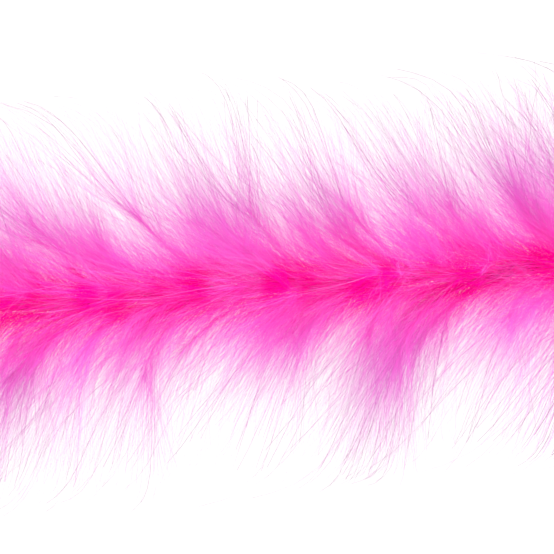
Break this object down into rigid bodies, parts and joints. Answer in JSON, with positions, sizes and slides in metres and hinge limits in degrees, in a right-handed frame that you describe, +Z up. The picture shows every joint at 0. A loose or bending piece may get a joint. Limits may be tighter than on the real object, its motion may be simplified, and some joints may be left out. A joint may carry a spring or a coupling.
{
  "type": "feather boa",
  "caption": "Fluffy hot pink marabou down boa lying in a U: down wound round a soft cord, whipped and knotted at both ends, jointed along its length so that it bends and lifts.",
  "frame": {"origin": "centre of the underside of the whole part's box, on the surface it lies on", "axes": "+X across the U along the straight front run, +Y back towards the two free ends, +Z up"},
  "size_m": [1.0412, 0.6502, 0.1187],
  "materials": {
    "cotton_cord": "matte twisted cotton",
    "quill_strip": "satin dyed quill butts sewn in a row",
    "stitch_thread": "satin thread",
    "marabou_down": "soft matte down"
  },
  "bodies": {
    "middle": {"core_cord_middle": "cotton_cord", "quill_strip_middle": "quill_strip", "stitch_thread_middle": "stitch_thread", "plume_cover_middle": "marabou_down"},
    "right_1": {"core_cord_right_1": "cotton_cord", "quill_strip_right_1": "quill_strip", "stitch_thread_right_1": "stitch_thread", "plume_cover_right_1": "marabou_down"},
    "right_2": {"core_cord_right_2": "cotton_cord", "quill_strip_right_2": "quill_strip", "stitch_thread_right_2": "stitch_thread", "plume_cover_right_2": "marabou_down"},
    "right_3": {"core_cord_right_3": "cotton_cord", "quill_strip_right_3": "quill_strip", "stitch_thread_right_3": "stitch_thread", "plume_cover_right_3": "marabou_down", "end_whipping_right": "stitch_thread", "end_knot_right": "cotton_cord", "cord_tail_right": "cotton_cord"},
    "left_1": {"core_cord_left_1": "cotton_cord", "quill_strip_left_1": "quill_strip", "stitch_thread_left_1": "stitch_thread", "plume_cover_left_1": "marabou_down"},
    "left_2": {"core_cord_left_2": "cotton_cord", "quill_strip_left_2": "quill_strip", "stitch_thread_left_2": "stitch_thread", "plume_cover_left_2": "marabou_down"},
    "left_3": {"core_cord_left_3": "cotton_cord", "quill_strip_left_3": "quill_strip", "stitch_thread_left_3": "stitch_thread", "plume_cover_left_3": "marabou_down", "end_whipping_left": "stitch_thread", "end_knot_left": "cotton_cord", "cord_tail_left": "cotton_cord"}
  },
  "joints": [
    {"name": "bend_right_1", "type": "hinge", "parent": "middle", "child": "right_1", "pos_m": [0.18, -0.25446, 0.05], "axis": [0, 0, 1], "range_deg": [-45, 20]},
    {"name": "lift_right_2", "type": "hinge", "parent": "right_1", "child": "right_2", "pos_m": [0.40026, -0.18646, 0.05], "axis": [0.7513, -0.66, 0], "range_deg": [0, 45]},
    {"name": "bend_right_3", "type": "hinge", "parent": "right_2", "child": "right_3", "pos_m": [0.45, 0.04138, 0.05], "axis": [0, 0, 1], "range_deg": [-45, 30]},
    {"name": "bend_left_1", "type": "hinge", "parent": "middle", "child": "left_1", "pos_m": [-0.18, -0.25446, 0.05], "axis": [0, 0, -1], "range_deg": [-45, 20]},
    {"name": "lift_left_2", "type": "hinge", "parent": "left_1", "child": "left_2", "pos_m": [-0.40026, -0.18646, 0.05], "axis": [0.7513, 0.66, 0], "range_deg": [0, 45]},
    {"name": "bend_left_3", "type": "hinge", "parent": "left_2", "child": "left_3", "pos_m": [-0.45, 0.04138, 0.05], "axis": [0, 0, -1], "range_deg": [-45, 30]}
  ]
}
